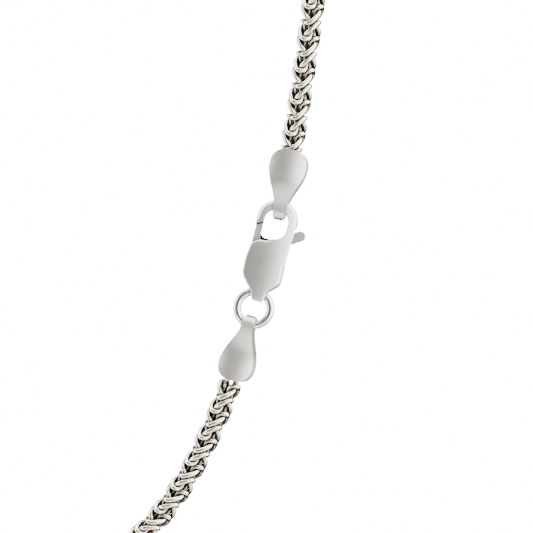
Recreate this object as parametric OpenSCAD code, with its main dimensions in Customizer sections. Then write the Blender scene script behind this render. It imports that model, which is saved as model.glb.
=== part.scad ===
// Wheat chain necklace with a lobster clasp, hanging as one closed loop.
// Millimetres. +Z is up, the loop lies in the XZ plane and its front faces -Y.
// The origin is the inner side of the chain at the very top, where the loop hangs.

/* [Loop] */
// Length of the closed necklace along its middle, clasp included
necklace_len = 457; // [420:1:520]
// Radius of the bend at the lowest point, which sets how wide the hanging loop opens
bend_r = 10.4; // [9:0.1:13]
// Chain from the lowest point up to its end inside the lower end cap
tail_run = 30.6; // [24:0.1:50]
// Inward bow of the leg above the clasp, at the middle of its height
bow_in = 0.75; // [0:0.05:1.5]

/* [Chain] */
// Width of the plaited chain across its outer wires
chain_w = 2.5; // [2.2:0.05:2.8]
// Number of rings in the chain's plain tube on the close bend at the bottom
bend_rings = 22; // [16:1:24]
// Number of rings in the chain's plain tube on each of the three long stretches
run_rings = 19; // [12:1:19]

/* [End caps] */
// Length of an end cap from its folded end to its tip
cap_len = 7.6; // [7:0.1:9]
// Widest place of a cap's leaf
cap_w = 4.0; // [3.6:0.1:4.6]
// Width of the strap that folds round the hook or the ring
cap_neck_w = 1.38; // [1.3:0.02:1.7]
// Width of the strap at the very end of its fold
cap_fold_w = 0.76; // [0.5:0.02:1.3]
// Thickness of the sheet that the caps are cut from
cap_sheet = 0.34; // [0.3:0.01:0.4]
// Inner radius of the fold
cap_fold_r = 0.66; // [0.64:0.01:0.75]
// Distance from the fold's centre to the widest place of the leaf
cap_wide_at = 4.7; // [4:0.1:5]
// Radius of the leaf's crown across its width
cap_crown_r = 4.2; // [3:0.1:8]
// Length of chain held between the leaves
cap_grip = 2.25; // [1.5:0.05:2.6]
// Gap between the chain and each leaf
cap_play = 0.06; // [0.04:0.01:0.2]
// Widest place of the lower cap's leaf
lower_cap_w = 3.74; // [3.6:0.02:4.6]
// Length of the lower cap's leaves as a share of the upper cap's
lower_cap_share = 0.945; // [0.9:0.005:1]
// Lean of the upper cap from the vertical
upper_cap_tilt = 11; // [6:0.5:16]
// Lean of the lower cap from the vertical
lower_cap_tilt = 16.5; // [12:0.5:20]
// Turn of the upper cap about its own length
upper_cap_turn = -5; // [-6:0.5:6]
// Turn of the lower cap about its own length
lower_cap_turn = -8; // [-8:0.5:8]

/* [Jump ring] */
// Diameter of the ring's wire
ring_wire = 0.86; // [0.7:0.02:0.9]
// Radius of the ring to the middle of its wire
ring_r = 1.78; // [1.7:0.02:2]

/* [Clasp] */
// Lean of the clasp from the vertical
clasp_tilt = 14.5; // [11:0.5:18]
// Thickness of the clasp at its thickest place
clasp_t = 2.0; // [1.9:0.05:2.2]
// Radius of the clasp's crown across its width
clasp_crown_r = 10; // [9:0.5:20]
// Radius of the clasp's crown along its length
clasp_arch_r = 43; // [40:1:60]
// Outer radius of the hook
hook_r = 2.22; // [2.15:0.01:2.4]
// Height of the hook's centre above the tail's end
hook_z = 8.92; // [8.85:0.01:9]
// Half the width of the opening inside the hook
eye_r = 1.27; // [1.2:0.01:1.3]
// Height of the top arc's centre of the opening
eye_top_z = 8.73; // [8.7:0.01:8.8]
// Height of the bottom arc's centre of the opening
eye_low_z = 8.12; // [8.1:0.01:8.3]
// Height at which the upper cap's fold sits in the hook
hook_seat_z = 9.96; // [9.9:0.01:10]
// Sideways place of the upper cap's fold in the hook
hook_seat_x = 0.1; // [-0.1:0.01:0.15]
// Height of the ring's wire in the eye at the tail
tail_eye_z = 0.995; // [0.98:0.005:1.05]
// Gap between the ring's wire and the eye at the tail
tail_eye_play = 0.11; // [0.05:0.01:0.14]

/* [Lever] */
// Thickness of the lever's plate
lever_t = 0.8; // [0.6:0.05:0.8]
// Gap between the lever and each wall of the clasp
lever_play = 0.05; // [0.03:0.01:0.08]
// Sideways place of the lever's pin
pivot_x = 0.2; // [0.1:0.05:0.3]
// Height of the lever's pin above the tail's end
pivot_z = 4.6; // [4.5:0.05:4.7]
// Radius from the pin to the lever's tip
tip_r = 3.95; // [3.9:0.01:4.1]
// Gap between the lever's tip and the hook's end
tip_gap = 0.07; // [0.04:0.01:0.1]
// Length of the tip's tongue, which laps behind the hook's end
tip_lap = 0.2; // [0.1:0.01:0.25]
// Gap between the tongue and the hook's end in front of it
lap_gap = 0.05; // [0.03:0.01:0.08]
// Radius of the lever's hub
hub_r = 0.95; // [0.8:0.05:1]
// Radius of the round thumb tab
tab_r = 0.55; // [0.45:0.01:0.6]
// Radius of the pin
pin_r = 0.4; // [0.3:0.02:0.45]
// Running gap between the pin and the lever
pin_play = 0.03; // [0.02:0.01:0.08]
// Depth of the pin's seat in each wall
pin_seat = 0.3; // [0.2:0.02:0.32]

/* [Hidden] */
metal = [0.80, 0.80, 0.78];
bright_metal = [0.86, 0.85, 0.82];
round_fn = 96;
tube_sides = 8;
loop_steps = 8;

// The hanging curve: a catenary for each leg and one arc over the top, which meet smoothly.
function asinh(x) = ln(x + sqrt(x * x + 1));
function lean(s) = atan(bend_r / s);
function leg_x(s) = bend_r * asinh(s / bend_r);
function leg_h(s) = sqrt(bend_r * bend_r + s * s) - bend_r;
function top_r(s) = leg_x(s) / cos(lean(s));
function half_arc(s) = top_r(s) * PI * (90 + lean(s)) / 180;
function fit_leg(n, s) = n == 0 ? s : fit_leg(n - 1, necklace_len / 2 - half_arc(s));
leg_len = fit_leg(loop_steps, necklace_len / 3);
arc_r = top_r(leg_len);
arc_h = leg_h(leg_len) + arc_r * sin(lean(leg_len));
loop_drop = arc_h + arc_r - chain_w / 2;
function leg_point(s) = [sign(s) * leg_x(abs(s)), 0, leg_h(s) - loop_drop];
function arc_point(t) = [arc_r * cos(t), 0, arc_h - loop_drop + arc_r * sin(t)];

// The row of fittings, each hung from the one below it.
function up_dir(tilt) = [sin(tilt), 0, cos(tilt)];
cap_tip = cap_len - cap_fold_r - cap_sheet;
cap_hold = cap_tip - cap_grip;
lower_end = leg_point(tail_run);
lower_fold = lower_end + cap_hold * up_dir(lower_cap_tilt);
ring_at = lower_fold + ring_r * up_dir(lower_cap_tilt);
clasp_at = ring_at + (ring_r - tail_eye_z) * up_dir(clasp_tilt);
upper_fold = clasp_at + hook_seat_z * up_dir(clasp_tilt) + hook_seat_x * up_dir(clasp_tilt + 90);
upper_end = upper_fold + cap_hold * up_dir(upper_cap_tilt);

// The chain's route, from the lower cap round the bottom, up, over and down to the upper cap.
upper_h = upper_end[2] + loop_drop;
upper_run = sqrt(pow(upper_h + bend_r, 2) - bend_r * bend_r);
upper_shift = upper_end[0] - leg_x(upper_run);
function bowed(t) = upper_shift * t - bow_in * sin(180 * t);
arc_from = 180 + lean(leg_len);
arc_to = -lean(leg_len);
route = concat(
    [for (i = [0 : bend_rings - 1]) leg_point(tail_run - 2 * tail_run * i / bend_rings)],
    [for (i = [0 : run_rings - 1]) leg_point(-tail_run - (leg_len - tail_run) * i / run_rings)],
    [for (i = [0 : run_rings - 1]) arc_point(arc_from + (arc_to - arc_from) * i / run_rings)],
    [for (i = [0 : run_rings])
        let (t = i / run_rings)
        leg_point(leg_len + (upper_run - leg_len) * t) + [bowed(t), 0, 0]]
);

// A tube swept along points that lie in the XZ plane.
function unit(v) = v / norm(v);
function heading(p, i) = unit(p[min(i + 1, len(p) - 1)] - p[max(i - 1, 0)]);
function tube_ring(p, i, r, sides) =
    let (d = heading(p, i), side = [d[2], 0, -d[0]])
    [for (k = [0 : sides - 1])
        let (a = 360 * (k + 0.5) / sides)
        p[i] + r * cos(a) * side + [0, r * sin(a), 0]];
function quad(a, b, c, d) = [[a, b, c], [a, c, d]];

module tube(p, r, sides) {
    points = [for (i = [0 : len(p) - 1]) each tube_ring(p, i, r, sides)];
    walls = [for (i = [0 : len(p) - 2], k = [0 : sides - 1])
        let (m = (k + 1) % sides, a = i * sides, b = a + sides)
        each quad(a + k, a + m, b + m, b + k)];
    start = [[for (k = [sides - 1 : -1 : 0]) k]];
    end = [[for (k = [0 : sides - 1]) (len(p) - 1) * sides + k]];
    polyhedron(points, concat(walls, start, end));
}

module wheat_chain() {
    color(bright_metal) tube(route, chain_w / 2, tube_sides);
}

// An end cap: one strip of sheet with a leaf at each end, folded so that the leaves face.
// Heights are measured from the fold's centre, and rows run from one tip round to the other.
cap_leg_rows = 7;
cap_tip_rows = 6;
cap_fold_rows = 8;
cap_cols = 8;
cap_tip_power = 2.5;
cap_tip_share = 0.985;
cap_neck_run = 0.3;
cap_open_run = 3.4;
fold_mid_r = cap_fold_r + cap_sheet / 2;
leaf_mid_y = chain_w / 2 + cap_play + cap_sheet / 2;
function smooth(t) = let (u = min(1, max(0, t))) u * u * (3 - 2 * u);
function cap_leg_y(h) = fold_mid_r + (leaf_mid_y - fold_mid_r) * smooth(h / cap_open_run);
function cap_half_w(h, w) =
    h < cap_wide_at
    ? (cap_neck_w + (w - cap_neck_w) * smooth((h - cap_neck_run) / (cap_wide_at - cap_neck_run))) / 2
    : w / 2 * pow(1 - pow((h - cap_wide_at) / (cap_tip - cap_wide_at), cap_tip_power), 1 / cap_tip_power);
function cap_crown(h, x) = smooth(h / cap_wide_at) * x * x / (2 * cap_crown_r);
cap_heights = concat(
    [for (i = [0 : cap_leg_rows - 1]) cap_wide_at * i / cap_leg_rows],
    [for (i = [0 : cap_tip_rows])
        cap_wide_at + (cap_tip - cap_wide_at) * cap_tip_share * sin(90 * i / cap_tip_rows)]);
cap_leg_count = len(cap_heights);
// Each row is the side of the fold, the height, the slope of the leg and the angle on the fold.
cap_rows = concat(
    [for (i = [cap_leg_count - 1 : -1 : 0]) [-1, cap_heights[i], 0]],
    [for (i = [1 : cap_fold_rows - 1]) [0, 0, 180 * i / cap_fold_rows]],
    [for (i = [0 : cap_leg_count - 1]) [1, cap_heights[i], 0]]);
slope_step = 0.05;
function cap_slope(h) = (cap_leg_y(h + slope_step) - cap_leg_y(max(0, h - slope_step)))
    / (h > slope_step ? 2 * slope_step : slope_step + h);
function cap_point(row, v, off, w, share) =
    row[0] == 0
    ? [v * (cap_neck_w - (cap_neck_w - cap_fold_w) * (1 - abs(cos(row[2])))) / 2,
       -(fold_mid_r + off) * cos(row[2]),
       -(fold_mid_r + off) * sin(row[2])]
    : let (x = v * cap_half_w(row[1], w), n = unit([0, 1, -cap_slope(row[1])]))
      [x,
       row[0] * (cap_leg_y(row[1]) - cap_crown(row[1], x) + off * n[1]),
       row[1] * share + off * n[2]];

module folded_cap(w, share) {
    rows = len(cap_rows);
    cols = cap_cols + 1;
    layer = rows * cols;
    points = [for (off = [-cap_sheet / 2, cap_sheet / 2], row = cap_rows, c = [0 : cap_cols])
        cap_point(row, 2 * c / cap_cols - 1, off, w, share)];
    inner = [for (r = [0 : rows - 2], c = [0 : cap_cols - 1])
        let (a = r * cols + c) each quad(a, a + 1, a + cols + 1, a + cols)];
    outer = [for (r = [0 : rows - 2], c = [0 : cap_cols - 1])
        let (a = layer + r * cols + c) each quad(a, a + cols, a + cols + 1, a + 1)];
    sides = [for (r = [0 : rows - 2])
        let (a = r * cols, b = a + cap_cols)
        each concat(quad(a, a + cols, layer + a + cols, layer + a),
                    quad(b, layer + b, layer + b + cols, b + cols))];
    ends = [for (c = [0 : cap_cols - 1])
        let (a = c, b = (rows - 1) * cols + c)
        each concat(quad(a, layer + a, layer + a + 1, a + 1),
                    quad(b, b + 1, layer + b + 1, layer + b))];
    polyhedron(points, concat(inner, outer, sides, ends));
}

module end_cap_upper() {
    color(metal)
    translate(upper_fold) rotate([0, upper_cap_tilt, 0]) rotate([0, 0, upper_cap_turn])
        folded_cap(cap_w, 1);
}

module end_cap_lower() {
    color(metal)
    translate(lower_fold) rotate([0, 180 + lower_cap_tilt, 0]) rotate([0, 0, -lower_cap_turn])
        folded_cap(lower_cap_w, lower_cap_share);
}

module jump_ring() {
    color(bright_metal)
    translate(ring_at) rotate([90, 0, 0])
        rotate_extrude($fn = round_fn) translate([ring_r, 0]) circle(d = ring_wire, $fn = round_fn);
}

// Flat outlines are lists of corners: sideways place, height, radius of the corner.
corner_steps = 6;
function corner(a, b, c) =
    let (p = [b[0], b[1]], u = unit([a[0], a[1]] - p), w = unit([c[0], c[1]] - p),
         half = acos(u * w) / 2, bend = 180 - 2 * half, r = b[2],
         mid = p + unit(u + w) * r / sin(half),
         e = (p + u * r / tan(half) - mid) / r, f = (p + w * r / tan(half) - mid) / r)
    [for (i = [0 : corner_steps])
        let (t = i / corner_steps)
        mid + r * (sin((1 - t) * bend) * e + sin(t * bend) * f) / sin(bend)];
function rounded(list) =
    [for (i = [0 : len(list) - 1])
        each corner(list[(i + len(list) - 1) % len(list)], list[i], list[(i + 1) % len(list)])];

module plate(outline, t) {
    rotate([90, 0, 0]) linear_extrude(t, center = true) polygon(rounded(outline));
}

module disc(x, z, r, t) {
    translate([x, 0, z]) rotate([90, 0, 0]) cylinder(h = t, r = r, center = true, $fn = round_fn);
}

module on_clasp() {
    translate(clasp_at) rotate([0, clasp_tilt, 0]) children();
}

// The clasp stands on its tail, with the hook above.
deep = 2 * clasp_t;
slot_t = lever_t + 2 * lever_play;
arch_z = 3.6;
arch_span = 28;
arch_fn = 720;
crown_fn = 240;
slot_floor = 2.9;
spine_x = 1.5;
spine_top = 4.4;
body_outline = [
    [-0.46, 0.00, 0.20], [-0.80, 0.90, 0.30], [-2.17, 2.46, 1.60], [-2.28, 4.20, 6.00],
    [-2.03, 6.02, 0.42], [-1.22, 6.50, 0.80], [-0.45, 6.56, 1.50], [ 0.35, 6.91, 0.02],
    [ 0.45, 7.60, 0.05], [ 2.16, 7.60, 0.05], [ 2.06, 5.20, 1.50], [ 2.16, 2.20, 1.10],
    [ 0.98, 1.10, 0.50], [ 0.68, 0.00, 0.20]
];
back_lip_outline = [
    [-1.34, 6.30, 0.02], [-1.34, 7.05, 0.02], [-0.98, 6.66, 0.40], [-0.10, 6.68, 0.02],
    [-0.10, 6.30, 0.02]
];
limb_outline = [
    [-2.13, 9.00, 0.02], [-2.10, 5.90, 0.02], [2.04, 5.60, 0.02], [2.30, 9.00, 0.02]
];
hook_x = 0.08;
arm_r = 4.24;

module tip_sweep(r, t) {
    disc(pivot_x, pivot_z, r, t);
}

module hook() {
    difference() {
        union() {
            disc(hook_x, hook_z, hook_r, deep);
            plate(limb_outline, deep);
        }
        intersection() {
            union() {
                tip_sweep(tip_r + tip_gap, 2 * deep);
                translate([0, deep / 2, 0]) tip_sweep(tip_r + tip_lap + tip_gap, deep);
            }
            translate([-2 * hook_r, -deep, 0]) cube([2 * hook_r, 2 * deep, hook_z]);
        }
    }
}

module eye() {
    disc(0, eye_top_z, eye_r, 2 * deep);
    disc(0.02, eye_low_z, eye_r, 2 * deep);
    translate([-eye_r, -deep, eye_low_z]) cube([2 * eye_r, 2 * deep, eye_top_z - eye_low_z]);
}

module lever_slot() {
    difference() {
        union() {
            tip_sweep(tip_r + tip_gap, slot_t);
            intersection() {
                tip_sweep(arm_r, slot_t);
                translate([pivot_x, -deep, 0]) cube([2 * hook_r, 2 * deep, 2 * hook_z]);
            }
        }
        translate([-2 * hook_r, -deep, -hook_z]) cube([4 * hook_r, 2 * deep, hook_z + slot_floor]);
        translate([spine_x, -deep, 0]) cube([2 * hook_r, 2 * deep, spine_top]);
    }
}

// One face of the clasp, crowned across its width and arched along its length.
module crowned_side(side) {
    translate([0, -side * (clasp_arch_r - clasp_t / 2), arch_z]) rotate([side < 0 ? 180 : 0, 0, 0])
        rotate([0, 0, 90]) rotate([90, 0, 0]) rotate([0, 0, -arch_span / 2])
            rotate_extrude(angle = arch_span, $fn = arch_fn)
                translate([clasp_arch_r - clasp_crown_r, 0]) circle(r = clasp_crown_r, $fn = crown_fn);
}

module clasp_body() {
    color(metal)
    on_clasp() difference() {
        intersection() {
            union() {
                plate(body_outline, deep);
                translate([0, deep / 2, 0]) plate(back_lip_outline, deep);
                hook();
            }
            crowned_side(-1);
            crowned_side(1);
        }
        eye();
        lever_slot();
        disc(pivot_x, pivot_z, pin_r, slot_t + 2 * pin_seat);
        translate([0, 0, tail_eye_z - ring_r]) rotate([90, 0, 0])
            rotate_extrude($fn = round_fn)
                translate([ring_r, 0]) circle(r = ring_wire / 2 + tail_eye_play, $fn = round_fn);
    }
}

// The lever: the gate that closes the hook, its hub and the bent arm with the thumb tab.
tab_at = [2.86, 7.84];
elbow_at = [1.45, 6.95];
gate_outline = [
    [-2.02, 9.20, 0.02], [-1.99, 6.00, 0.60], [-1.84, 4.90, 0.60], [-0.90, 3.85, 0.50],
    [ 0.30, 3.85, 0.40], [ 1.10, 4.60, 0.40], [ 1.00, 6.10, 0.40], [-1.20, 6.42, 0.20],
    [-1.27, 7.00, 0.30], [-1.27, 9.20, 0.02]
];

module bar(a, b, r, t) {
    disc(a[0], a[1], r, t);
    disc(b[0], b[1], r, t);
    translate([a[0], 0, a[1]]) rotate([0, atan2(b[0] - a[0], b[1] - a[1]), 0])
        translate([-r, -t / 2, 0]) cube([2 * r, t, norm(b - a)]);
}

module clasp_lever() {
    color(metal)
    on_clasp() difference() {
        union() {
            intersection() {
                plate(gate_outline, lever_t);
                union() {
                    tip_sweep(tip_r, deep);
                    translate([0, deep / 2 + lap_gap, 0]) tip_sweep(tip_r + tip_lap, deep);
                }
            }
            disc(pivot_x, pivot_z, hub_r, lever_t);
            bar([pivot_x, pivot_z], elbow_at, tab_r, lever_t);
            bar(elbow_at, tab_at, tab_r, lever_t);
        }
        disc(pivot_x, pivot_z, pin_r + pin_play, deep);
    }
}

module clasp_pin() {
    color(metal)
    on_clasp() disc(pivot_x, pivot_z, pin_r, slot_t + 2 * pin_seat);
}

wheat_chain();
end_cap_upper();
end_cap_lower();
clasp_body();
clasp_lever();
clasp_pin();
jump_ring();
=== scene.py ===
"""Looks of a hanging wheat chain necklace, seen at its lobster clasp."""
import math

import bpy
import numpy as np
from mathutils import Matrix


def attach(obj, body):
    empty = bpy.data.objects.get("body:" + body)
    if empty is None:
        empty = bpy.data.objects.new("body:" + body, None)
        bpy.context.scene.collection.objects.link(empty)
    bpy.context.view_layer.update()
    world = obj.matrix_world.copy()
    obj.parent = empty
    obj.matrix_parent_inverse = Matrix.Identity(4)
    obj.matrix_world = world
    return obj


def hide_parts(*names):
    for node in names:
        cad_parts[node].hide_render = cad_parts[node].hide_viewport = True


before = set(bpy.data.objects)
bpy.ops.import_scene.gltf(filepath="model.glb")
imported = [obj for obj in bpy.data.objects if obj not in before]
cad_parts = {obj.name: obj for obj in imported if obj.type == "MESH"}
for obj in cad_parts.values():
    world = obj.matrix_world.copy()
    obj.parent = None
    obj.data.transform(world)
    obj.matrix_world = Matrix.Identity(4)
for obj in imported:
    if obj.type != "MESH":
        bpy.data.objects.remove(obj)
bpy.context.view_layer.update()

# Sizes are in millimetres; MM turns them into metres where Blender is given them.
MM = 0.001

# Loop, as in the part's source
NECKLACE_LEN = 457.0
BEND_R = 10.4
TAIL_RUN = 30.6
BOW_IN = 0.75
CHAIN_W = 2.5
LEG_FIT_STEPS = 8
ROUTE_STEPS = 400

# Chain: four rings in each pitch, which lie closer where little weight pulls on them
PITCH = 3.4
LOW_PITCH, LOW_PITCH_Z = 3.08, -190.0
HIGH_PITCH, HIGH_PITCH_Z = 3.41, -145.0
PITCH_STEPS = 4000
# The wire as drawn, and the spacing that the rings' middle lines are pushed towards
WIRE = 0.56
SETTLED_GAP = 0.47
# Turn of the chain about its own line at its two ends, and how far its end rings are slid along it
ROLL_LOW = -49.0
ROLL_HIGH = -66.0
LOW_SHIFT = 0.3
HIGH_SHIFT = 1.5

# One ring before it settles: a long oval, leaned and wound round the chain, that dips under its neighbours
RING_HALF_STRAIGHT = 1.5
RING_HALF_GAP = 0.5
RING_LEAN = 25.0
RING_FACES = math.pi / 4
RING_MID_R = 0.68
RING_WAVE = 0.32
RING_WAVE_EDGE = 1.6
RING_POINTS = 64
MESH_POINTS = 48
WIRE_SIDES = 8
# Where the tube round a ring starts: any direction that the wire doesn't run in
TUBE_START = (0.3, 0.8, 0.5)

# How it settles: the share of its shift that each step keeps, the smoothing of the wire, the pushes, and
# from how many gaps away along itself it is pushed off its own wire too
SETTLE_STEPS = 300
SHIFT_KEPT = 0.996
SMOOTH_PASSES = 3
SMOOTHING = 0.3
PUSH_PASSES = 2
OWN_REACH = 1.5

# End caps
CAP_LEN = 7.6
CAP_W = 4.0
LOWER_CAP_W = 3.74
LOWER_CAP_SHARE = 0.945
CAP_NECK_W = 1.38
CAP_FOLD_W = 0.76
CAP_SHEET = 0.34
CAP_FOLD_R = 0.66
CAP_WIDE_AT = 4.7
CAP_CROWN_R = 4.2
CAP_GRIP = 2.25
CAP_PLAY = 0.06
CAP_NECK_RUN = 0.3
CAP_OPEN_RUN = 3.4
CAP_TIP_POWER = 2.5
CAP_TIP_CUT = 0.9985
CAP_SLOPE_STEP = 0.02
CAP_COLS = 20
LEAF_ROWS = 26
TIP_ROWS = 18
FOLD_ROWS = 18
UPPER_CAP_TILT = 11.0
LOWER_CAP_TILT = 16.5
UPPER_CAP_TURN = -5.0
LOWER_CAP_TURN = -8.0

# Row of fittings
RING_R = 1.78
TAIL_EYE_Z = 0.995
CLASP_TILT = 14.5
HOOK_SEAT_Z = 9.96
HOOK_SEAT_X = 0.1

# Clasp body, in its own frame: sideways, depth, height above the tail's end
CLASP_T = 2.0
CROWN_R = 10.0
ARCH_R = 43.0
ARCH_Z = 3.6
HOOK_AT = (0.08, 8.92)
HOOK_R = 2.22
EYE_R = 1.27
EYE_TOP_Z = 8.73
EYE_LOW_X = 0.02
EYE_LOW_Z = 8.12
PIVOT = (0.2, 4.6)
TIP_R = 3.95
TIP_GAP = 0.1
TIP_LAP = 0.2
ARM_R = 4.24
HALF_SLOT = 0.45
SLOT_FLOOR = 2.9
SPINE_X = 1.5
SPINE_TOP = 4.4
PIN_HOLE_R = 0.42
PIN_HOLE_HALF = 0.77
TAIL_EYE_R = 0.54

# Rounded edges of the caps, the lever and the pin
CAP_EDGE = 0.09
LEVER_EDGE = 0.08
EDGE_SEGMENTS = 3
EDGE_ANGLE = 35.0

# Outlines of the clasp body: sideways place, height and corner radius of each corner
BODY_OUTLINE = (
    (-0.46, 0.00, 0.20), (-0.80, 0.90, 0.30), (-2.17, 2.46, 1.60), (-2.28, 4.20, 6.00),
    (-2.03, 6.02, 0.80), (-1.22, 6.50, 0.80), (-0.45, 6.56, 1.50), (0.35, 6.91, 0.02),
    (0.45, 7.60, 0.05), (2.16, 7.60, 0.05), (2.06, 5.20, 1.50), (2.16, 2.20, 1.10),
    (0.98, 1.10, 0.50), (0.68, 0.00, 0.20),
)
BACK_LIP_OUTLINE = (
    (-1.34, 6.30, 0.02), (-1.34, 7.12, 0.02), (-0.92, 6.76, 0.40), (-0.10, 6.76, 0.02), (-0.10, 6.30, 0.02),
)
LIMB_OUTLINE = ((-2.13, 9.00, 0.02), (-2.10, 5.90, 0.02), (2.04, 5.60, 0.02), (2.30, 9.00, 0.02))
CORNER_STEPS = 10

# Its eased edges: the least ease, what is added where the metal is solid and at the walls' tops, and the
# softness of each crease
LEAST_EASE = 0.1
SOLID_EASE = 0.2
WALL_TOP_EASE = 0.04
SOLID_SIDE_X = (0.4, 1.4)
SOLID_SIDE_Z = (3.9, 4.7)
SOLID_HOOK_Z = (8.0, 8.9)
WALL_TOP_X = (-0.4, 1.2)
WALL_TOP_Z = (5.6, 6.1)
FACE_BLEND = 0.05
EASE_BLEND = 0.1
GATE_BLEND = 0.04
EYE_BLEND = 0.1
SLOT_BLEND = 0.05
PIN_BLEND = 0.01
TAIL_EYE_BLEND = 0.06

# Its mesh: the box that it is looked for in, the cells, and the passes that draw the vertices onto it
CLASP_LOW = (-2.5, -1.1, -0.12)
CLASP_HIGH = (2.5, 1.1, 11.3)
GRID = 0.055
DRAW_PASSES = 3
SLOPE_REACH = 0.004
LEAST_SLOPE = 0.2

# Faces of it that get painted shade: how near the slot, the lip and the gate's seat they lie
NEAR_SLOT = 0.04
SLOT_INSIDE = 0.1
NEAR_LIP = 0.06
LIP_FRONT_Y = -0.2
LIP_OUTSIDE = 0.02
NEAR_SEAT = 0.03
SEAT_LOW_Z = 7.0

# Camera
VIEW_X = 21.8
VIEW_Z = -164.2
VIEW_WIDTH = 56.7
CAMERA_AWAY = 500.0
SENSOR = 36.0
CLIP_START = 0.01

# Floor, below the photo's view
FLOOR_R = 700.0
FLOOR_Z = -250.0
FLOOR_SIDES = 96
FLOOR_TONE = (0.85, 0.85, 0.84)
FLOOR_ROUGHNESS = 0.9

# Tent round the metal: tones, and the directions between which one passes into the next
TINT = (1.0, 0.99, 0.965)
DARK_SIDE = (0.045, 0.045, 0.043)
BRIGHT_SIDE = (1.0, 1.0, 0.98)
SIDE_TONES = ((0.3, 0.055), (0.4, 0.12), (0.5, 0.34), (0.6, 0.6), (0.7, 0.85), (0.85, 1.2))
LOW_FRONT_TONE, LOW_FRONT_AT = 0.46, (-0.5, -0.2)
CEILING_TONE, CEILING_AT = 1.3, (0.8, 0.95)
BACK_TONE, BACK_AT, HIGH_BACK_AT = 2.2, (-0.5, 0.0), (-0.2, 0.1)
HIGH_AT = (0.3, 0.7)
FAR_BACK_TONE, FAR_BACK_AT = 0.08, (0.05, 0.3)
BELOW_AT = (-0.8, -0.4)
UNDER_TONE, UNDER_AT, UNDER_FROM = 0.02, (-0.2, -0.05), (-0.1, 0.1)
LENS_TONE, LENS_AT = 0.002, (-0.975, -0.96)
TENT_STRENGTH = 5.0
SURROUND_STRENGTH = 16.5

# Tone of the softly polished metal
SOFT_TONE = (0.83, 0.82, 0.785)

# Handling marks on the metal, and the rays that look for its recesses, where shade is painted into its colour
SMUDGE_SCALE = 700
SMUDGE_DETAIL = 3
HAIRLINE_SCALE = (6000, 6000, 500)
HAIRLINE_TURN = 20.0
HAIRLINE_DETAIL = 2
MARK_SPREAD = 0.05
MARK_BUMP = 0.05
MARK_DEPTH = 0.01
RECESS_SAMPLES = 8


# The hanging curve: a catenary for each leg and one arc over the top

def leg_x(s):
    return BEND_R * math.asinh(s / BEND_R)


def leg_h(s):
    return math.hypot(BEND_R, s) - BEND_R


def leg_lean(s):
    return math.atan2(BEND_R, s)


def top_r(s):
    return leg_x(s) / math.cos(leg_lean(s))


def fit_leg():
    s = NECKLACE_LEN / 3
    for _ in range(LEG_FIT_STEPS):
        s = NECKLACE_LEN / 2 - top_r(s) * (math.pi / 2 + leg_lean(s))
    return s


LEG_LEN = fit_leg()
ARC_R = top_r(LEG_LEN)
ARC_H = leg_h(LEG_LEN) + ARC_R * math.sin(leg_lean(LEG_LEN))
LOOP_DROP = ARC_H + ARC_R - CHAIN_W / 2


def leg_point(s):
    return np.array([math.copysign(leg_x(abs(s)), s), 0.0, leg_h(s) - LOOP_DROP])


def arc_point(t):
    return np.array([ARC_R * math.cos(t), 0.0, ARC_H - LOOP_DROP + ARC_R * math.sin(t)])


def up_dir(tilt):
    return np.array([math.sin(math.radians(tilt)), 0.0, math.cos(math.radians(tilt))])


CAP_TIP = CAP_LEN - CAP_FOLD_R - CAP_SHEET
CAP_HOLD = CAP_TIP - CAP_GRIP
LOWER_END = leg_point(TAIL_RUN)
LOWER_FOLD = LOWER_END + CAP_HOLD * up_dir(LOWER_CAP_TILT)
RING_AT = LOWER_FOLD + RING_R * up_dir(LOWER_CAP_TILT)
CLASP_AT = RING_AT + (RING_R - TAIL_EYE_Z) * up_dir(CLASP_TILT)
UPPER_FOLD = CLASP_AT + HOOK_SEAT_Z * up_dir(CLASP_TILT) + HOOK_SEAT_X * up_dir(CLASP_TILT + 90)
UPPER_END = UPPER_FOLD + CAP_HOLD * up_dir(UPPER_CAP_TILT)


def route_points():
    """Points along the chain, from the lower cap round the bottom, over the top and down to the upper cap."""
    upper_h = UPPER_END[2] + LOOP_DROP
    upper_run = math.sqrt((upper_h + BEND_R) ** 2 - BEND_R ** 2)
    shift = UPPER_END[0] - leg_x(upper_run)
    lean = leg_lean(LEG_LEN)
    points = [leg_point(s) for s in np.linspace(TAIL_RUN, -LEG_LEN, 2 * ROUTE_STEPS, endpoint=False)]
    points += [arc_point(t) for t in np.linspace(math.pi + lean, -lean, ROUTE_STEPS, endpoint=False)]
    for t in np.linspace(0, 1, ROUTE_STEPS):
        bow = shift * t - BOW_IN * math.sin(math.pi * t)
        points.append(leg_point(LEG_LEN + (upper_run - LEG_LEN) * t) + np.array([bow, 0, 0]))
    return np.array(points)


class Route:
    """The chain's middle line, asked by the length from the lower cap."""

    def __init__(self):
        self.points = route_points()
        steps = np.linalg.norm(np.diff(self.points, axis=0), axis=1)
        self.lengths = np.concatenate([[0], np.cumsum(steps)])
        self.length = self.lengths[-1]
        self.headings = np.gradient(self.points, self.lengths, axis=0)
        self.headings /= np.linalg.norm(self.headings, axis=1, keepdims=True)

    def read(self, table, s):
        return np.stack([np.interp(s, self.lengths, table[:, k]) for k in range(3)], axis=-1)

    def place(self, local, s):
        """Takes points given about the chain's own axis (right, back, along) to where the chain is at s."""
        along = np.clip(s + local[:, 2], 0, self.length)
        over = (s + local[:, 2] - along)[:, None]
        heading = self.read(self.headings, along)
        heading /= np.linalg.norm(heading, axis=1, keepdims=True)
        side = np.stack([heading[:, 2], np.zeros(len(along)), -heading[:, 0]], axis=1)
        back = np.array([[0.0, 1.0, 0.0]])
        return self.read(self.points, along) + over * heading + local[:, :1] * side + local[:, 1:2] * back


# One ring of the plait, settled against its neighbours

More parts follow.
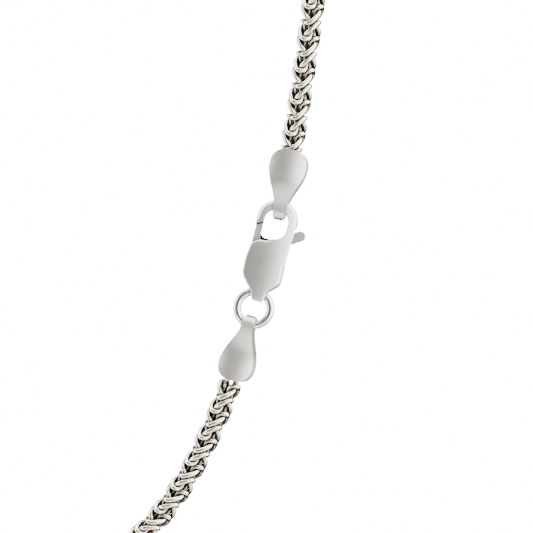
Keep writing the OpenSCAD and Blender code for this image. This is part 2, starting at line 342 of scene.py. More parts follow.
def flat_ring():
    """A long ring wound round the chain's right front, its two long sides crossing from deep to high."""
    straight = 2 * RING_HALF_STRAIGHT
    bend = math.pi * RING_HALF_GAP
    total = 2 * (straight + bend)
    run = (np.arange(RING_POINTS) * total / RING_POINTS - bend / 2) % total
    along = np.empty(RING_POINTS)
    across = np.empty(RING_POINTS)
    for i, v in enumerate(run):
        if v < straight:
            along[i], across[i] = RING_HALF_STRAIGHT - v, RING_HALF_GAP
        elif v < straight + bend:
            turn = (v - straight) / RING_HALF_GAP
            along[i] = -RING_HALF_STRAIGHT - RING_HALF_GAP * math.sin(turn)
            across[i] = RING_HALF_GAP * math.cos(turn)
        elif v < 2 * straight + bend:
            along[i], across[i] = v - straight - bend - RING_HALF_STRAIGHT, -RING_HALF_GAP
        else:
            turn = (v - 2 * straight - bend) / RING_HALF_GAP
            along[i] = RING_HALF_STRAIGHT + RING_HALF_GAP * math.sin(turn)
            across[i] = -RING_HALF_GAP * math.cos(turn)
    lean = math.radians(RING_LEAN)
    around = along * math.sin(lean) - across * math.cos(lean)
    height = along * math.cos(lean) + across * math.sin(lean)
    angle = RING_FACES + around / RING_MID_R
    wave = np.tanh(RING_WAVE_EDGE * np.sin(4 * math.pi * np.arange(RING_POINTS) / RING_POINTS))
    radius = RING_MID_R + RING_WAVE * wave / math.tanh(RING_WAVE_EDGE)
    return np.stack([radius * np.sin(angle), -radius * np.cos(angle), height], axis=1)


# The four rows of rings: how each mirrors the first, and its shift in pitches
FAMILIES = (
    (np.array([1, 1, 1]), 0.0),
    (np.array([-1, 1, 1]), 0.5),
    (np.array([1, -1, 1]), 0.5),
    (np.array([-1, -1, 1]), 0.0),
)


def neighbours(ring):
    """The rings that one ring can touch: mirror images of it, shifted along the chain."""
    near = []
    for mirror, shift in FAMILIES:
        for k in (-2, -1, 0, 1):
            if shift or k or mirror.min() < 0:
                near.append(ring * mirror + np.array([0, 0, (k + shift) * PITCH]))
        if not shift:
            near.append(ring * mirror + np.array([0, 0, 2 * PITCH]))
    return near


def half_turned(ring):
    """The ring turned half round about the line that looks out through its middle."""
    out = np.array([math.sin(RING_FACES), -math.cos(RING_FACES), 0])
    return 2 * (ring @ out)[:, None] * out - ring


def push_apart(ring, other, allowed):
    gap = ring[:, None] - other[None]
    dist = np.maximum(np.linalg.norm(gap, axis=2), 1e-6)
    lack = np.where(allowed, np.maximum(0, SETTLED_GAP - dist), 0)
    push = gap / dist[..., None] * (lack / 2)[..., None]
    return push.sum(axis=1), (lack > 0).sum(axis=1)


def settled_ring():
    """Pushes the flat ring's wire away from every neighbour, and keeps it smooth and evenly shaped."""
    start = flat_ring()
    step = np.linalg.norm(np.roll(start, -1, 0) - start, axis=1).mean()
    index = np.arange(RING_POINTS)
    apart = np.abs(index[:, None] - index[None])
    apart = np.minimum(apart, RING_POINTS - apart)
    own_allowed = apart > math.ceil(OWN_REACH * SETTLED_GAP / step)
    outer = (CHAIN_W - SETTLED_GAP) / 2
    shift = np.zeros_like(start)
    for _ in range(SETTLE_STEPS):
        shift *= SHIFT_KEPT
        for _ in range(SMOOTH_PASSES):
            shift += SMOOTHING * ((np.roll(shift, 1, 0) + np.roll(shift, -1, 0)) / 2 - shift)
        for _ in range(PUSH_PASSES):
            ring = start + shift
            move, count = push_apart(ring, ring, own_allowed)
            for other in neighbours(ring):
                if other[:, 2].min() - ring[:, 2].max() > WIRE or ring[:, 2].min() - other[:, 2].max() > WIRE:
                    continue
                more, touched = push_apart(ring, other, True)
                move += more
                count += touched
            shift += move / np.maximum(1, count)[:, None]
            ring = start + shift
            radius = np.linalg.norm(ring[:, :2], axis=1)
            shift[:, :2] -= ring[:, :2] * (np.maximum(0, radius - outer) / radius)[:, None]
        ring = start + shift
        shift = (ring + np.roll(half_turned(ring), RING_POINTS // 2, 0)) / 2 - start
    return start + shift


def resampled(ring, count):
    """The same closed curve with evenly spaced points."""
    closed = np.vstack([ring, ring[:1]])
    lengths = np.concatenate([[0], np.cumsum(np.linalg.norm(np.diff(closed, axis=0), axis=1))])
    want = np.arange(count) * lengths[-1] / count
    return np.stack([np.interp(want, lengths, closed[:, k]) for k in range(3)], axis=1)


def ring_tube(centre, radius, sides):
    """Vertices of a closed tube round a closed curve, with a frame that doesn't twist."""
    count = len(centre)
    heading = np.roll(centre, -1, 0) - np.roll(centre, 1, 0)
    heading /= np.linalg.norm(heading, axis=1, keepdims=True)
    normal = np.empty_like(centre)
    first = np.cross(heading[0], TUBE_START)
    normal[0] = first / np.linalg.norm(first)
    for i in range(1, count):
        carried = normal[i - 1] - heading[i] * (normal[i - 1] @ heading[i])
        normal[i] = carried / np.linalg.norm(carried)
    carried = normal[-1] - heading[0] * (normal[-1] @ heading[0])
    carried /= np.linalg.norm(carried)
    twist = math.atan2(np.cross(carried, normal[0]) @ heading[0], carried @ normal[0])
    binormal = np.cross(heading, normal)
    angle = 2 * math.pi * np.arange(sides) / sides + (twist * np.arange(count) / count)[:, None]
    ring = np.cos(angle)[..., None] * normal[:, None] + np.sin(angle)[..., None] * binormal[:, None]
    return (centre[:, None] + radius * ring).reshape(-1, 3)


def tube_faces(count, sides):
    i, k = np.meshgrid(np.arange(count), np.arange(sides), indexing="ij")
    j, m = (i + 1) % count, (k + 1) % sides
    corners = np.stack([i * sides + k, j * sides + k, j * sides + m, i * sides + m], axis=-1)
    return corners.reshape(-1, 4)


def ramp(t, low, high):
    """Rises smoothly from 0 at the low value to 1 at the high one."""
    u = np.clip((t - low) / (high - low), 0, 1)
    return u * u * (3 - 2 * u)


# Meshes

def mesh_piece(name, vertices, faces, material):
    mesh = bpy.data.meshes.new(name)
    mesh.from_pydata((np.asarray(vertices) * MM).tolist(), [], [list(map(int, f)) for f in faces])
    mesh.validate()
    mesh.shade_smooth()
    mesh.materials.append(material)
    piece = bpy.data.objects.new(name, mesh)
    bpy.context.scene.collection.objects.link(piece)
    return piece


def round_edges(piece, width):
    bevel = piece.modifiers.new("round edges", "BEVEL")
    bevel.width = width * MM
    bevel.segments = EDGE_SEGMENTS
    bevel.limit_method = "ANGLE"
    bevel.angle_limit = math.radians(EDGE_ANGLE)
    bevel.harden_normals = True


def chain_piece(name, rings, material):
    faces = tube_faces(MESH_POINTS, WIRE_SIDES)
    vertices = [ring_tube(ring, WIRE / 2, WIRE_SIDES) for ring in rings]
    size = MESH_POINTS * WIRE_SIDES
    every = np.concatenate([faces + i * size for i in range(len(rings))])
    return mesh_piece(name, np.concatenate(vertices), every, material)


def local_pitch(z):
    """The rings' spacing at a height: tight in the slack foot of the loop, full where the weight pulls."""
    return LOW_PITCH + (HIGH_PITCH - LOW_PITCH) * ramp(z, LOW_PITCH_Z, HIGH_PITCH_Z)


def make_chain(material):
    """All the rings along the route, in three pieces."""
    route = Route()
    ring = resampled(settled_ring(), MESH_POINTS)
    reach = ring[:, 2].max() + WIRE / 2
    along = np.linspace(0, route.length, PITCH_STEPS)
    pitches = local_pitch(route.read(route.points, along)[:, 2])
    # Half pitches laid up to each length: two of the four rows have a ring at every whole one, two between
    laid = np.concatenate([[0], np.cumsum(np.diff(along) / (pitches[1:] + pitches[:-1]) * 4)])
    first = np.interp(reach + LOW_SHIFT, along, laid)
    last = np.interp(route.length - reach + HIGH_SHIFT, along, laid)
    count = round(last - first)
    rings = []
    for n in range(count + 1):
        s = np.interp(first + (last - first) * n / count, laid, along)
        roll = math.radians(ROLL_LOW + (ROLL_HIGH - ROLL_LOW) * s / route.length)
        squeeze = np.interp(s, along, pitches) / PITCH
        for mirror, shift in FAMILIES:
            if (n % 2 == 1) != (shift > 0):
                continue
            local = ring * mirror
            x = local[:, 0] * math.cos(roll) - local[:, 1] * math.sin(roll)
            y = local[:, 0] * math.sin(roll) + local[:, 1] * math.cos(roll)
            rings.append(route.place(np.stack([x, y, local[:, 2] * squeeze], axis=1), s))
    third = math.ceil(len(rings) / 3)
    names = ("chain_foot", "chain_back", "chain_rise")
    pieces = [chain_piece(name, rings[i * third:(i + 1) * third], material) for i, name in enumerate(names)]
    for piece in pieces:
        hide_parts("wheat_chain")
        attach(piece, "necklace")


# End caps

FOLD_MID_R = CAP_FOLD_R + CAP_SHEET / 2
LEAF_MID_Y = CHAIN_W / 2 + CAP_PLAY + CAP_SHEET / 2


def cap_leg_y(h):
    return FOLD_MID_R + (LEAF_MID_Y - FOLD_MID_R) * ramp(h, 0, CAP_OPEN_RUN)


def cap_half_w(h, width):
    if h < CAP_WIDE_AT:
        return (CAP_NECK_W + (width - CAP_NECK_W) * ramp(h, CAP_NECK_RUN, CAP_WIDE_AT)) / 2
    share = (h - CAP_WIDE_AT) / (CAP_TIP - CAP_WIDE_AT)
    return width / 2 * (1 - share ** CAP_TIP_POWER) ** (1 / CAP_TIP_POWER)


def cap_rows():
    """Rows of the strip: side of the fold, height on the leaf, angle on the fold."""
    heights = [CAP_WIDE_AT * i / LEAF_ROWS for i in range(LEAF_ROWS)]
    tip_run = (CAP_TIP - CAP_WIDE_AT) * CAP_TIP_CUT
    heights += [CAP_WIDE_AT + tip_run * math.sin(math.pi / 2 * i / TIP_ROWS) for i in range(TIP_ROWS + 1)]
    front = [(-1, h, 0.0) for h in reversed(heights)]
    fold = [(0, 0.0, math.pi * i / FOLD_ROWS) for i in range(1, FOLD_ROWS)]
    back = [(1, h, 0.0) for h in heights]
    return front + fold + back


def cap_point(row, v, off, width, share):
    """A point of the strip: v runs across it from -1 to 1, off is its distance off the sheet's middle."""
    side, h, angle = row
    if side == 0:
        strap = CAP_NECK_W - (CAP_NECK_W - CAP_FOLD_W) * (1 - abs(math.cos(angle)))
        r = FOLD_MID_R + off
        return [v * strap / 2, -r * math.cos(angle), -r * math.sin(angle)]
    low, high = max(0.0, h - CAP_SLOPE_STEP), h + CAP_SLOPE_STEP
    slope = (cap_leg_y(high) - cap_leg_y(low)) / (high - low)
    lean = math.hypot(1, slope)
    x = v * cap_half_w(h, width)
    crown = ramp(h, 0, CAP_WIDE_AT) * x * x / (2 * CAP_CROWN_R)
    return [x, side * (cap_leg_y(h) - crown + off / lean), h * share - off * slope / lean]


def turned(points, tilt, turn):
    """Turns points about their own height, then leans them in the loop's plane."""
    a, b = math.radians(turn), math.radians(tilt)
    x = points[:, 0] * math.cos(a) - points[:, 1] * math.sin(a)
    y = points[:, 0] * math.sin(a) + points[:, 1] * math.cos(a)
    z = points[:, 2]
    return np.stack([x * math.cos(b) + z * math.sin(b), y, -x * math.sin(b) + z * math.cos(b)], axis=1)


def make_cap(name, node, fold_at, tilt, turn, width, share, material):
    """One cap: the sheet's inner and outer layer, closed along its rim."""
    cols, rows = CAP_COLS, cap_rows()
    layer = len(rows) * (cols + 1)
    points = [cap_point(row, 2 * c / cols - 1, off, width, share)
              for off in (-CAP_SHEET / 2, CAP_SHEET / 2) for row in rows for c in range(cols + 1)]
    faces = []
    for r in range(len(rows) - 1):
        for c in range(cols):
            a = r * (cols + 1) + c
            b = a + cols + 1
            faces.append((a, a + 1, b + 1, b))
            faces.append((layer + a, layer + b, layer + b + 1, layer + a + 1))
        a = r * (cols + 1)
        b = a + cols + 1
        faces.append((a, b, layer + b, layer + a))
        faces.append((a + cols, layer + a + cols, layer + b + cols, b + cols))
    last = (len(rows) - 1) * (cols + 1)
    for c in range(cols):
        faces.append((c, layer + c, layer + c + 1, c + 1))
        faces.append((last + c, last + c + 1, layer + last + c + 1, layer + last + c))
    placed = turned(np.array(points), tilt, turn) + fold_at
    piece = mesh_piece(name, placed, faces, material)
    round_edges(piece, CAP_EDGE)
    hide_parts(node)
    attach(piece, "necklace")


# Clasp body: a solid given by the distance to its surface, so that its edges can be eased one by one

def rounded(corners):
    """The outline's corners turned into short arcs."""
    points = []
    for i, (x, z, r) in enumerate(corners):
        at = np.array([x, z])
        u = np.array(corners[i - 1][:2]) - at
        w = np.array(corners[(i + 1) % len(corners)][:2]) - at
        u, w = u / np.linalg.norm(u), w / np.linalg.norm(w)
        half = math.acos(u @ w) / 2
        bend = math.pi - 2 * half
        mid = at + (u + w) / np.linalg.norm(u + w) * r / math.sin(half)
        e = (at + u * r / math.tan(half) - mid) / r
        f = (at + w * r / math.tan(half) - mid) / r
        for k in range(CORNER_STEPS + 1):
            t = k / CORNER_STEPS
            points.append(mid + r * (math.sin((1 - t) * bend) * e + math.sin(t * bend) * f) / math.sin(bend))
    return np.array(points)


def outline_distance(outline, x, z):
    """Distance to an outline in the plane, less than zero inside it."""
    near = np.full(x.shape, 1e9)
    inside = np.zeros(x.shape, bool)
    for a, b in zip(outline, np.roll(outline, -1, 0)):
        edge = b - a
        px, pz = x - a[0], z - a[1]
        t = np.clip((px * edge[0] + pz * edge[1]) / (edge @ edge), 0, 1)
        near = np.minimum(near, (px - t * edge[0]) ** 2 + (pz - t * edge[1]) ** 2)
        if a[1] != b[1]:
            crosses = (a[1] > z) != (b[1] > z)
            inside ^= crosses & (px < edge[0] * pz / edge[1])
    near = np.sqrt(near)
    return np.where(inside, -near, near)


def soft_max(a, b, blend):
    """The larger of two distances, with the crease between them blended."""
    lap = np.maximum(0, blend - np.abs(a - b))
    return np.maximum(a, b) + lap * lap / (4 * blend)


def eased(wall, face, ease):
    """A wall and a face that meet in an eased edge."""
    return soft_max(soft_max(wall, face, FACE_BLEND), (wall + face + ease) * math.sqrt(0.5), EASE_BLEND)


BODY_LINE = rounded(BODY_OUTLINE)
LIMB_LINE = rounded(LIMB_OUTLINE)
LIP_LINE = rounded(BACK_LIP_OUTLINE)


def pivot_distance(x, z):
    return np.hypot(x - PIVOT[0], z - PIVOT[1])


def crowned_face_distance(x, y, z):
    """Distance to the clasp's two faces, crowned across its width and arched along its length."""
    across = np.hypot(np.abs(y) + ARCH_R - CLASP_T / 2, z - ARCH_Z) - (ARCH_R - CROWN_R)
    return np.hypot(across, x) - CROWN_R


def eye_distance(x, z):
    """Distance to the opening inside the hook."""
    middle, half = (EYE_TOP_Z + EYE_LOW_Z) / 2, (EYE_TOP_Z - EYE_LOW_Z) / 2
    ends = np.minimum(np.hypot(x, z - EYE_TOP_Z), np.hypot(x - EYE_LOW_X, z - EYE_LOW_Z)) - EYE_R
    return np.minimum(ends, np.maximum(np.abs(x) - EYE_R, np.abs(z - middle) - half))


def slot_distance(x, y, z):
    """Distance to the lever's slot, which ends at its floor and at the spine that joins the two walls."""
    from_pivot = pivot_distance(x, z)
    sweep = np.minimum(from_pivot - TIP_R - TIP_GAP, np.maximum(from_pivot - ARM_R, PIVOT[0] - x))
    slot = np.maximum(np.maximum(sweep, np.abs(y) - HALF_SLOT), SLOT_FLOOR - z)
    return np.maximum(slot, -np.maximum(SPINE_X - x, z - SPINE_TOP))


def clasp_body_distance(points):
    """Distance to the clasp body's surface, less than zero inside the metal."""
    x, y, z = points[:, 0], points[:, 1], points[:, 2]
    face = crowned_face_distance(x, y, z)
    solid_side = ramp(x, *SOLID_SIDE_X) * (1 - ramp(z, *SOLID_SIDE_Z))
    wall_top = ramp(z, *WALL_TOP_Z) * ramp(-x, *WALL_TOP_X)
    ease = LEAST_EASE + SOLID_EASE * np.maximum(solid_side, ramp(z, *SOLID_HOOK_Z))
    wall_ease = np.maximum(ease, LEAST_EASE + WALL_TOP_EASE * wall_top)
    from_pivot = pivot_distance(x, z)
    hook = np.minimum(np.hypot(x - HOOK_AT[0], z - HOOK_AT[1]) - HOOK_R, outline_distance(LIMB_LINE, x, z))
    tip = TIP_R + TIP_GAP + np.where(y > 0, TIP_LAP, 0)
    gate_room = np.maximum(np.maximum(from_pivot - tip, x), z - HOOK_AT[1])
    hook = soft_max(eased(hook, face, ease), -gate_room, GATE_BLEND)
    body = eased(outline_distance(BODY_LINE, x, z), face, wall_ease)
    lip = soft_max(np.maximum(outline_distance(LIP_LINE, x, z), -y), face, FACE_BLEND)
    solid = np.minimum(np.minimum(body, hook), lip)
    solid = soft_max(solid, -eye_distance(x, z), EYE_BLEND)
    solid = soft_max(solid, -slot_distance(x, y, z), SLOT_BLEND)
    pin_hole = np.maximum(from_pivot - PIN_HOLE_R, np.abs(y) - PIN_HOLE_HALF)
    solid = soft_max(solid, -pin_hole, PIN_BLEND)
    ring_line = np.hypot(np.hypot(x, z - TAIL_EYE_Z + RING_R) - RING_R, y)
    return soft_max(solid, TAIL_EYE_R - ring_line, TAIL_EYE_BLEND)


def painted_shade_share(points):
    """One on the faces that get painted shade: the slot, the gate's seat and the lip behind it."""
    x, y, z = points[:, 0], points[:, 1], points[:, 2]
    in_body, in_lip = outline_distance(BODY_LINE, x, z), outline_distance(LIP_LINE, x, z)
    slot = (np.abs(y) < HALF_SLOT + NEAR_SLOT) & (z > SLOT_FLOOR - NEAR_SLOT) & (in_body < -SLOT_INSIDE)
    lip = (in_lip < NEAR_LIP) & (y > LIP_FRONT_Y) & (in_body > -LIP_OUTSIDE)
    seat = (np.abs(pivot_distance(x, z) - TIP_R - TIP_GAP) < NEAR_SEAT) & (x < 0) & (z > SEAT_LOW_Z)
    return (slot | lip | seat).astype(float)


def at_corner(table, corner, cells):
    """What the grid's table says at one corner of every cell."""
    return table[tuple(slice(c, c + n) for c, n in zip(corner, cells))]


def edge_crossings(values, inside, cells):
    """For every cell, the sum of the places where the surface crosses its edges, and how many there are."""
    total = np.zeros(cells + (3,))
    hits = np.zeros(cells)
    corners = [(i, j, k) for i in (0, 1) for j in (0, 1) for k in (0, 1)]
    for a in corners:
        for axis in range(3):
            if a[axis]:
                continue
            b = tuple(1 if k == axis else a[k] for k in range(3))
            crossed = at_corner(inside, a, cells) != at_corner(inside, b, cells)
            va, vb = at_corner(values, a, cells), at_corner(values, b, cells)
            t = np.where(crossed, va / np.where(crossed, va - vb, 1), 0)
            place = np.broadcast_to(np.array(a, float), cells + (3,)).copy()
            place[..., axis] += t
            total += np.where(crossed[..., None], place, 0)
            hits += crossed
    return total, hits


def crossing_quads(inside, number, axis):
    """One quad for each grid edge along the axis that the surface crosses, facing out of the metal."""
    one = tuple(slice(0, -1) if k == axis else slice(1, -1) for k in range(3))
    two = tuple(slice(1, None) if k == axis else slice(1, -1) for k in range(3))
    flips = inside[one] != inside[two]
    leaving = inside[one][flips]
    base = np.argwhere(flips) + [0 if k == axis else 1 for k in range(3)]
    p, q = [k for k in range(3) if k != axis]
    quad = []
    for dp, dq in ((-1, -1), (0, -1), (0, 0), (-1, 0)):
        cell = base.copy()
        cell[:, p] += dp
        cell[:, q] += dq
        quad.append(number[tuple(cell.T)])
    quad = np.stack(quad, axis=1)
    flip = leaving if axis == 1 else ~leaving
    quad[flip] = quad[flip][:, ::-1]
    return quad


def distance_slope(distance, points):
    """How the distance grows along each axis."""
    parts = []
    for axis in range(3):
        nudge = np.zeros(3)
        nudge[axis] = SLOPE_REACH
        parts.append((distance(points + nudge) - distance(points - nudge)) / (2 * SLOPE_REACH))
    return np.stack(parts, axis=1)


def surface_mesh(distance, low, high, step):
    """Quads over the surface where the distance is zero, their vertices drawn onto it, and its normals."""
    counts = [int(math.ceil((b - a) / step)) + 1 for a, b in zip(low, high)]
    axes = [a + step * np.arange(n) for a, n in zip(low, counts)]
    grid = np.stack(np.meshgrid(*axes, indexing="ij"), axis=-1)
    values = distance(grid.reshape(-1, 3)).reshape(counts)
    inside = values < 0
    cells = tuple(n - 1 for n in counts)
    total, hits = edge_crossings(values, inside, cells)
    used = hits > 0
    number = np.full(cells, -1)
    number[used] = np.arange(used.sum())
    vertices = np.array(low) + (np.argwhere(used) + total[used] / hits[used][:, None]) * step
    for _ in range(DRAW_PASSES):
        g = distance_slope(distance, vertices)
        move = distance(vertices)[:, None] * g / np.maximum(LEAST_SLOPE, (g * g).sum(axis=1, keepdims=True))
        vertices -= np.clip(move, -step / 2, step / 2)
    normals = distance_slope(distance, vertices)
    normals /= np.maximum(1e-6, np.linalg.norm(normals, axis=1, keepdims=True))
    faces = np.concatenate([crossing_quads(inside, number, axis) for axis in range(3)])
    return vertices, faces, normals


def on_clasp(points, origin):
    """Leans points from the clasp's own frame and sets them at the origin given."""
    lean = math.radians(CLASP_TILT)
    x = points[:, 0] * math.cos(lean) + points[:, 2] * math.sin(lean)
    z = points[:, 2] * math.cos(lean) - points[:, 0] * math.sin(lean)
    return np.stack([x, points[:, 1], z], axis=1) + origin


def make_clasp_body(material):
    vertices, faces, normals = surface_mesh(clasp_body_distance, CLASP_LOW, CLASP_HIGH, GRID)
    piece = mesh_piece("clasp_casting", on_clasp(vertices, CLASP_AT), faces, material)
    piece.data.normals_split_custom_set_from_vertices(on_clasp(normals, np.zeros(3)).tolist())
    # marks the slot, the gate's seat and the lip for painted shade
    painted_shade_mark = piece.data.attributes.new("painted_shade_mark", "FLOAT", "POINT")
    painted_shade_mark.data.foreach_set("value", painted_shade_share(vertices))
    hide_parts("clasp_body")
    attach(piece, "necklace")


# Materials

def new_group(name, inputs, outputs):
    group = bpy.data.node_groups.new(name, "ShaderNodeTree")
    for label, kind, value in inputs:
        socket = group.interface.new_socket(name=label, in_out="INPUT", socket_type=kind)
        socket.default_value = value
    for label, kind in outputs:
        group.interface.new_socket(name=label, in_out="OUTPUT", socket_type=kind)
    return group, group.nodes.new("NodeGroupInput"), group.nodes.new("NodeGroupOutput")


def math_node(tree, operation, *values):
    """A Math node with its inputs set to numbers or linked to sockets."""
    node = tree.nodes.new("ShaderNodeMath")
    node.operation = operation
    for socket, value in zip(node.inputs, values):
        if isinstance(value, float):
            socket.default_value = value
        else:
            tree.links.new(value, socket)
    return node


def handling_marks_group():
    """Fine hairlines and soft smudges: a changing roughness and a height."""
    group, given, out = new_group(
        "Handling marks",
        [("Roughness", "NodeSocketFloat", 0.2), ("Spread", "NodeSocketFloat", 0.0)],
        [("Roughness", "NodeSocketFloat"), ("Height", "NodeSocketFloat")])
    nodes, links = group.nodes, group.links
    where = nodes.new("ShaderNodeTexCoord")
    smudge = nodes.new("ShaderNodeTexNoise")
    smudge.inputs["Scale"].default_value = SMUDGE_SCALE
    smudge.inputs["Detail"].default_value = SMUDGE_DETAIL
    links.new(where.outputs["Object"], smudge.inputs["Vector"])
    stretch = nodes.new("ShaderNodeMapping")
    stretch.inputs["Rotation"].default_value = (0, math.radians(HAIRLINE_TURN), 0)
    stretch.inputs["Scale"].default_value = HAIRLINE_SCALE
    links.new(where.outputs["Object"], stretch.inputs["Vector"])
    hairline = nodes.new("ShaderNodeTexNoise")
    hairline.inputs["Scale"].default_value = 1
    hairline.inputs["Detail"].default_value = HAIRLINE_DETAIL
    links.new(stretch.outputs[0], hairline.inputs["Vector"])
    mixed = math_node(group, "ADD", smudge.outputs["Fac"], hairline.outputs["Fac"])
    centred = math_node(group, "SUBTRACT", mixed.outputs[0], 1.0)
    rough = math_node(
        group, "MULTIPLY_ADD", centred.outputs[0], given.outputs["Spread"], given.outputs["Roughness"])
    links.new(rough.outputs[0], out.inputs["Roughness"])
    links.new(hairline.outputs["Fac"], out.inputs["Height"])
    return group


def painted_shade_group():
    """Paints shade into the metal's colour where other metal closes it in, and on the faces marked for it."""
    group, given, out = new_group(
        "Painted recess shade",
        [("Metal", "NodeSocketColor", (0.8, 0.8, 0.8, 1)), ("Recess", "NodeSocketColor", (0.1, 0.1, 0.1, 1)),
         ("Reach", "NodeSocketFloat", 0.001), ("Depth", "NodeSocketFloat", 1.0)],
        [("Color", "NodeSocketColor")])
    nodes, links = group.nodes, group.links
    open_sky = nodes.new("ShaderNodeAmbientOcclusion")
    open_sky.samples = RECESS_SAMPLES
    links.new(given.outputs["Reach"], open_sky.inputs["Distance"])
    curve = math_node(group, "POWER", open_sky.outputs["AO"], given.outputs["Depth"])
    painted_shade_mark = nodes.new("ShaderNodeAttribute")
    painted_shade_mark.attribute_name = "painted_shade_mark"
    shown = math_node(group, "SUBTRACT", curve.outputs[0], painted_shade_mark.outputs["Fac"])
    shown.use_clamp = True
    # Painted shade: the recess colour is mixed into the metal where AO finds metal near, and on the marked
    # faces
    tone = nodes.new("ShaderNodeMix")
    tone.data_type = "RGBA"
    links.new(shown.outputs[0], tone.inputs["Factor"])
    links.new(given.outputs["Recess"], tone.inputs["A"])
    links.new(given.outputs["Metal"], tone.inputs["B"])
    links.new(tone.outputs["Result"], out.inputs["Color"])
    return group


def metal_material(name, tone, painted_shade_tone, reach, depth, roughness):
    """Metal with handling marks, and shade painted into its colour where other metal lies within reach."""
    material = bpy.data.materials.new(name)
    material.use_nodes = True
    nodes, links = material.node_tree.nodes, material.node_tree.links
    shader = nodes["Principled BSDF"]
    shader.inputs["Metallic"].default_value = 1.0
    wear = nodes.new("ShaderNodeGroup")
    wear.node_tree = handling_marks
    wear.inputs["Roughness"].default_value = roughness
    wear.inputs["Spread"].default_value = MARK_SPREAD
    links.new(wear.outputs["Roughness"], shader.inputs["Roughness"])
    shade = nodes.new("ShaderNodeGroup")
    # painted shade in the recesses, given as colour
    shade.node_tree = painted_recess_shade
    shade.inputs["Metal"].default_value = (*tone, 1)
    shade.inputs["Recess"].default_value = (*painted_shade_tone, 1)
    shade.inputs["Reach"].default_value = reach * MM
    shade.inputs["Depth"].default_value = depth
    links.new(shade.outputs["Color"], shader.inputs["Base Color"])
    relief = nodes.new("ShaderNodeBump")
    relief.inputs["Strength"].default_value = MARK_BUMP
    relief.inputs["Distance"].default_value = MARK_DEPTH * MM
    links.new(wear.outputs["Height"], relief.inputs["Height"])
    links.new(relief.outputs["Normal"], shader.inputs["Normal"])
    return material


# Stage

def make_camera():
    data = bpy.data.cameras.new("camera")
    data.sensor_width = SENSOR
    data.lens = SENSOR * CAMERA_AWAY / VIEW_WIDTH
    data.clip_start = CLIP_START
    camera = bpy.data.objects.new("camera", data)
    camera.location = (VIEW_X * MM, -CAMERA_AWAY * MM, VIEW_Z * MM)
    camera.rotation_euler = (math.pi / 2, 0, 0)
    bpy.context.scene.collection.objects.link(camera)
    bpy.context.scene.camera = camera


def make_floor():
    turns = [2 * math.pi * i / FLOOR_SIDES for i in range(FLOOR_SIDES)]
    rim = [[FLOOR_R * math.cos(t), FLOOR_R * math.sin(t), FLOOR_Z] for t in turns]
    faces = [(0, 1 + i, 1 + (i + 1) % FLOOR_SIDES) for i in range(FLOOR_SIDES)]
    material = bpy.data.materials.new("pale floor")
    material.use_nodes = True
    shader = material.node_tree.nodes["Principled BSDF"]
    shader.inputs["Base Color"].default_value = (*FLOOR_TONE, 1)
    shader.inputs["Roughness"].default_value = FLOOR_ROUGHNESS
    floor = mesh_piece("floor", [[0, 0, FLOOR_Z]] + rim, faces, material)
    floor.visible_glossy = False


def tinted(level):
    return (*(level * part for part in TINT), 1)


def blended(tree, value, limits, start, end):
    """One tone below the two limits and another above them, each a level of the tent's white or a socket."""
    step = tree.nodes.new("ShaderNodeMapRange")
    step.interpolation_type = "SMOOTHSTEP"
    step.inputs["From Min"].default_value, step.inputs["From Max"].default_value = limits
    tree.links.new(value, step.inputs["Value"])
    mix = tree.nodes.new("ShaderNodeMix")
    mix.data_type = "RGBA"
    tree.links.new(step.outputs["Result"], mix.inputs["Factor"])
    for socket, tone in (("A", start), ("B", end)):
        if isinstance(tone, float):
            mix.inputs[socket].default_value = tinted(tone)
        else:
            tree.links.new(tone, mix.inputs[socket])
    return mix.outputs["Result"]


def tent_tone(tree):
    """The tones of a light tent, by the direction that they are seen in."""
    where = tree.nodes.new("ShaderNodeTexCoord")
    split = tree.nodes.new("ShaderNodeSeparateXYZ")
    tree.links.new(where.outputs["Generated"], split.inputs[0])
    across, away, up = split.outputs["X"], split.outputs["Y"], split.outputs["Z"]
    share = math_node(tree, "MULTIPLY_ADD", across, 0.5, 0.5)
    sweep = tree.nodes.new("ShaderNodeValToRGB")
    stops = sweep.color_ramp.elements
    stops[0].position, stops[0].color = 0.0, (*DARK_SIDE, 1)
    stops[1].position, stops[1].color = 1.0, (*BRIGHT_SIDE, 1)
    for position, level in SIDE_TONES:
        stops.new(position).color = tinted(level)
    tree.links.new(share.outputs[0], sweep.inputs[0])
    front = blended(tree, up, LOW_FRONT_AT, LOW_FRONT_TONE, sweep.outputs[0])
    front = blended(tree, up, CEILING_AT, front, CEILING_TONE)
    back = blended(tree, away, BACK_AT, front, BACK_TONE)
    high = blended(tree, away, HIGH_BACK_AT, front, BACK_TONE)
    tone = blended(tree, up, HIGH_AT, back, high)
    tone = blended(tree, away, FAR_BACK_AT, tone, FAR_BACK_TONE)
    tone = blended(tree, up, BELOW_AT, front, tone)
    under = blended(tree, up, UNDER_AT, UNDER_TONE, tone)
    tone = blended(tree, away, UNDER_FROM, tone, under)
    return blended(tree, away, LENS_AT, LENS_TONE, tone)


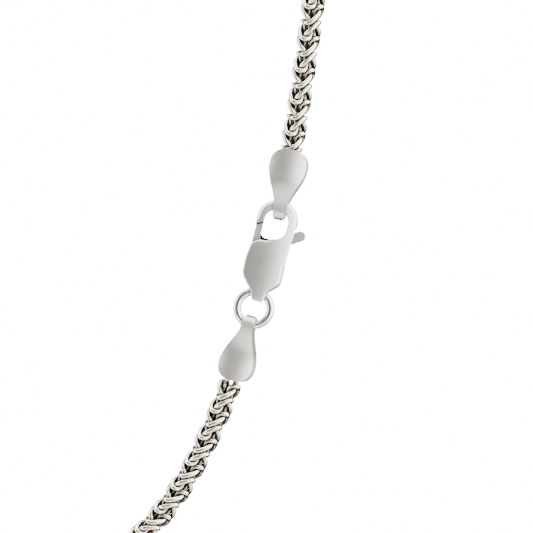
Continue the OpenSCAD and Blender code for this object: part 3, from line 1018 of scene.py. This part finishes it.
def make_world():
    """A white surround, with the tones of a light tent in the metal."""
    world = bpy.data.worlds.new("studio")
    bpy.context.scene.world = world
    world.use_nodes = True
    nodes, links = world.node_tree.nodes, world.node_tree.links
    tent = nodes["Background"]
    tent.inputs["Strength"].default_value = TENT_STRENGTH
    links.new(tent_tone(world.node_tree), tent.inputs["Color"])
    surround = nodes.new("ShaderNodeBackground")
    surround.inputs["Color"].default_value = (1, 1, 1, 1)
    surround.inputs["Strength"].default_value = SURROUND_STRENGTH
    seen = nodes.new("ShaderNodeLightPath")
    pick = nodes.new("ShaderNodeMixShader")
    links.new(seen.outputs["Is Camera Ray"], pick.inputs[0])
    links.new(tent.outputs[0], pick.inputs[1])
    links.new(surround.outputs[0], pick.inputs[2])
    links.new(pick.outputs[0], nodes["World Output"].inputs["Surface"])


make_camera()
make_world()
make_floor()
handling_marks = handling_marks_group()
painted_recess_shade = painted_shade_group()
# Each recess colour below is painted shade, mixed into the metal where other metal lies within reach
chain_metal = metal_material(
    "polished chain wire", tone=(0.97, 0.92, 0.80), painted_shade_tone=(0.09, 0.07, 0.045), reach=0.9, depth=4.0,
    roughness=0.06)
sheet_metal = metal_material(
    "soft polished cap sheet", tone=SOFT_TONE, painted_shade_tone=(0.2, 0.19, 0.17), reach=0.6, depth=1.0, roughness=0.4)
cast_metal = metal_material(
    "soft polished clasp casting", tone=SOFT_TONE, painted_shade_tone=(0.02, 0.018, 0.015), reach=0.6, depth=1.0,
    roughness=0.34)
ring_metal = metal_material(
    "polished ring wire", tone=(0.9, 0.89, 0.85), painted_shade_tone=(0.03, 0.025, 0.02), reach=0.5, depth=1.2,
    roughness=0.04)

make_chain(chain_metal)
make_cap("upper_cap_sheet", "end_cap_upper", UPPER_FOLD, UPPER_CAP_TILT, UPPER_CAP_TURN, CAP_W,
         share=1.0, material=sheet_metal)
make_cap("lower_cap_sheet", "end_cap_lower", LOWER_FOLD, 180 + LOWER_CAP_TILT, -LOWER_CAP_TURN, LOWER_CAP_W,
         share=LOWER_CAP_SHARE, material=sheet_metal)
make_clasp_body(cast_metal)
for node, material in (("clasp_lever", cast_metal), ("clasp_pin", cast_metal), ("jump_ring", ring_metal)):
    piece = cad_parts[node]
    piece.data.materials.clear()
    piece.data.materials.append(material)
    if node != "jump_ring":
        round_edges(piece, LEVER_EDGE)
